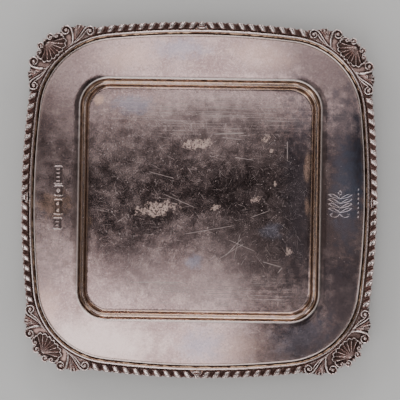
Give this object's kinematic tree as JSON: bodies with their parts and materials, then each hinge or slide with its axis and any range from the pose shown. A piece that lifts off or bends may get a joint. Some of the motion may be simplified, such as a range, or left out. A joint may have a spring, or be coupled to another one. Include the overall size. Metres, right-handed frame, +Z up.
{
  "type": "square salver",
  "caption": "Square silver salver with bowed sides, a sunk square well, a gadroon border with shell and scroll corners, on cast scroll feet.",
  "frame": {"origin": "on the table, under the centre of the dish", "axes": "+Z up out of the dish; the dish's sides are square to X and Y"},
  "size_m": [0.2028, 0.2028, 0.0174],
  "materials": {
    "sheet_silver": "polished sterling silver sheet, worn and tarnished",
    "cast_silver": "cast sterling silver, bright on the high points, dark in the recesses"
  },
  "bodies": {
    "root": {"tray_plate": "sheet_silver", "bead_wire_ne": "cast_silver", "bead_wire_nw": "cast_silver", "bead_wire_sw": "cast_silver", "bead_wire_se": "cast_silver", "corner_mount_ne": "cast_silver", "corner_mount_nw": "cast_silver", "corner_mount_sw": "cast_silver", "corner_mount_se": "cast_silver", "foot_ne": "cast_silver", "foot_nw": "cast_silver", "foot_sw": "cast_silver", "foot_se": "cast_silver", "side_leaf_east": "cast_silver", "side_leaf_north": "cast_silver", "side_leaf_west": "cast_silver", "side_leaf_south": "cast_silver", "gadroon_east_left": "cast_silver", "gadroon_east_right": "cast_silver", "gadroon_north_left": "cast_silver", "gadroon_north_right": "cast_silver", "gadroon_west_left": "cast_silver", "gadroon_west_right": "cast_silver", "gadroon_south_left": "cast_silver", "gadroon_south_right": "cast_silver"}
  },
  "joints": []
}
